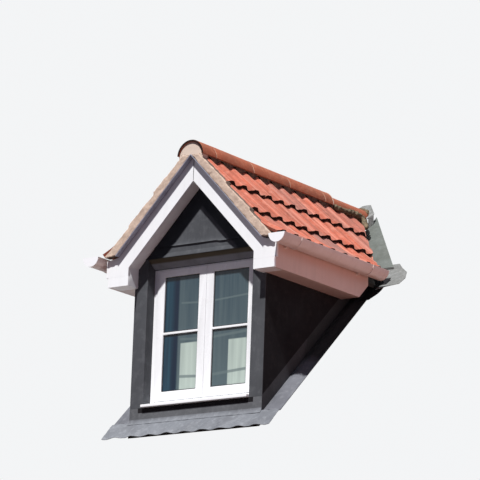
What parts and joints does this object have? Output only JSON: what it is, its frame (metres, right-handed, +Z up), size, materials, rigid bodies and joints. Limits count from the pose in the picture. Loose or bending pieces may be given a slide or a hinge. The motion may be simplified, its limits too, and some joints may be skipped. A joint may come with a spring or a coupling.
{
  "type": "dormer window",
  "caption": "Gabled dormer with lead-clad cheeks, paired white casements, barge boards, half-round gutters and a pantiled roof with a mortared ridge.",
  "frame": {"origin": "on the underside of the timber curb, under the middle of the front lead face", "axes": "+Z up, +Y back up the slope, +X to the right when the window is looked at from outside"},
  "size_m": [1.81, 2.3034, 2.1205],
  "materials": {
    "timber": "sawn",
    "white_board": "painted, satin",
    "white_sash": "painted, gloss",
    "white_gutter": "satin",
    "lining": "painted, matt",
    "lead_dark": "dull, weathered",
    "lead_pale": "dull, weathered",
    "valley_sheet": "dull, weathered",
    "clay_tile": "unglazed, weathered",
    "clay_ridge": "unglazed, weathered",
    "mortar": "rough",
    "glass": "clear"
  },
  "bodies": {
    "root": {"base_curb": "timber", "front_wall": "timber", "cheek_wall_left": "timber", "cheek_wall_right": "timber", "cheek_linings": "lining", "ceiling_lining": "lining", "roof_deck": "timber", "rafters": "timber", "battens": "timber", "tiles_left_top": "clay_tile", "tiles_left_middle": "clay_tile", "tiles_left_eaves": "clay_tile", "tiles_right_top": "clay_tile", "tiles_right_middle": "clay_tile", "tiles_right_eaves": "clay_tile", "ridge_tiles": "clay_ridge", "ridge_mortar": "mortar", "verge_mortar": "mortar", "undercloak": "mortar", "barge_board_left": "white_board", "barge_board_right": "white_board", "box_ends": "white_board", "gable_soffit": "white_board", "eaves_soffits": "white_board", "fascias": "white_board", "gutter_left": "white_gutter", "gutter_right": "white_gutter", "gutter_brackets": "white_gutter", "valleys": "valley_sheet", "valley_saddles": "lead_pale", "valley_feet": "lead_pale", "gable_lead_upper": "lead_dark", "gable_lead_lower": "lead_dark", "head_flashing": "lead_dark", "front_lead_left": "lead_dark", "front_lead_right": "lead_dark", "cheek_lead_left": "lead_dark", "cheek_lead_right": "lead_dark", "apron_lead": "lead_pale", "side_flashings": "lead_pale", "window_frame": "white_sash", "casement_left": "white_sash", "casement_right": "white_sash", "glazing": "glass", "window_sill": "white_sash"}
  },
  "joints": []
}
